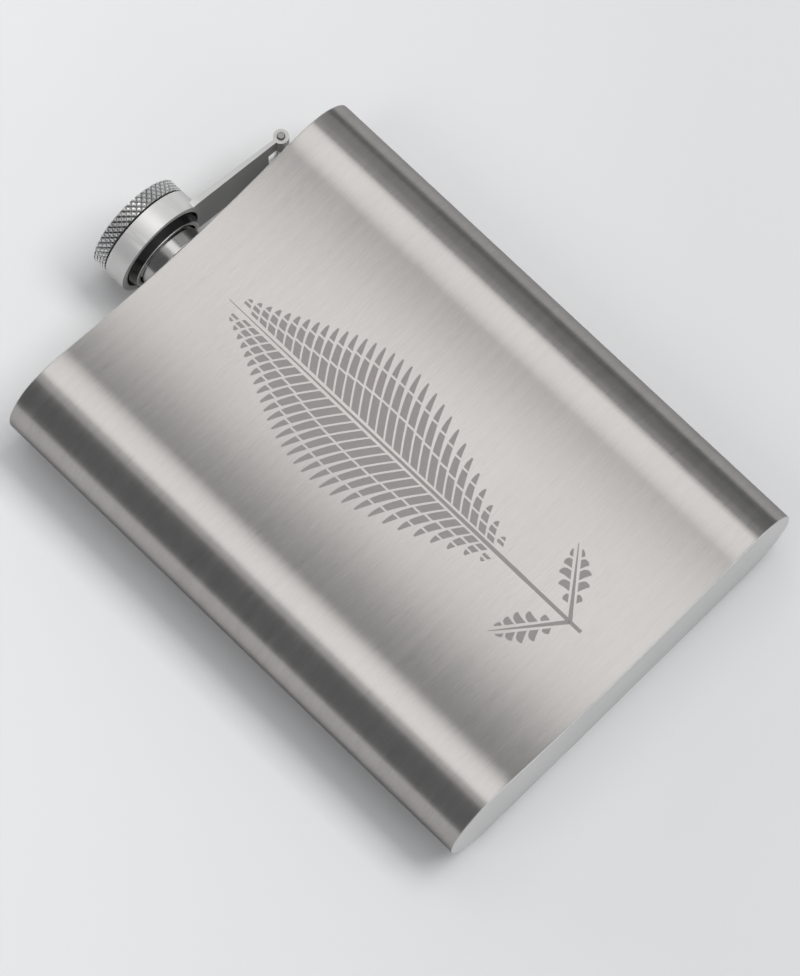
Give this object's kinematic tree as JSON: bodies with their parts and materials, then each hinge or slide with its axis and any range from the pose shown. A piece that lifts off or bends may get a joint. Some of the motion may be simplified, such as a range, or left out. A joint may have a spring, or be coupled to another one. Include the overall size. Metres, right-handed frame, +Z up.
{
  "type": "hip flask",
  "caption": "Flat stainless hip flask with rounded sides, a dished front, a short neck and a knurled screw cap held by a hinged arm.",
  "frame": {"origin": "centre of the bounding box's lowest face, with the flask lying on its back", "axes": "+X across the flask towards the hinge, +Y along the flask towards the cap, +Z up out of the dished front face"},
  "size_m": [0.095, 0.1378, 0.0226],
  "materials": {
    "body_wall": "fine brushed stainless steel, grain across the flask",
    "base_plate": "satin stainless steel",
    "top_plate": "satin stainless steel",
    "neck": "polished stainless steel",
    "hinge_bracket": "polished stainless steel",
    "hinge_pin": "plain ground steel",
    "hinge_arm": "mirror-polished stainless steel",
    "cap_head": "diamond-knurled rim and satin top",
    "cap_sleeve": "polished stainless steel, threaded inside",
    "cap_rivet": "turned steel",
    "cap_washer": "dark nylon",
    "cap_gasket": "translucent white silicone"
  },
  "bodies": {
    "flask": {"body_wall": "body_wall", "base_plate": "base_plate", "top_plate": "top_plate", "neck": "neck", "hinge_bracket": "hinge_bracket", "hinge_pin": "hinge_pin"},
    "arm": {"hinge_arm": "hinge_arm"},
    "cap": {"cap_head": "cap_head", "cap_sleeve": "cap_sleeve", "cap_rivet": "cap_rivet", "cap_washer": "cap_washer", "cap_gasket": "cap_gasket"}
  },
  "joints": [
    {"name": "arm_swing", "type": "hinge", "parent": "flask", "child": "arm", "pos_m": [0.0323, 0.05875, 0.01125], "axis": [0, 0, -1], "range_deg": [0, 185]},
    {"name": "cap_turn", "type": "hinge", "parent": "arm", "child": "cap", "pos_m": [0, 0.06515, 0.01125], "axis": [0, 1, 0], "continuous": true}
  ]
}
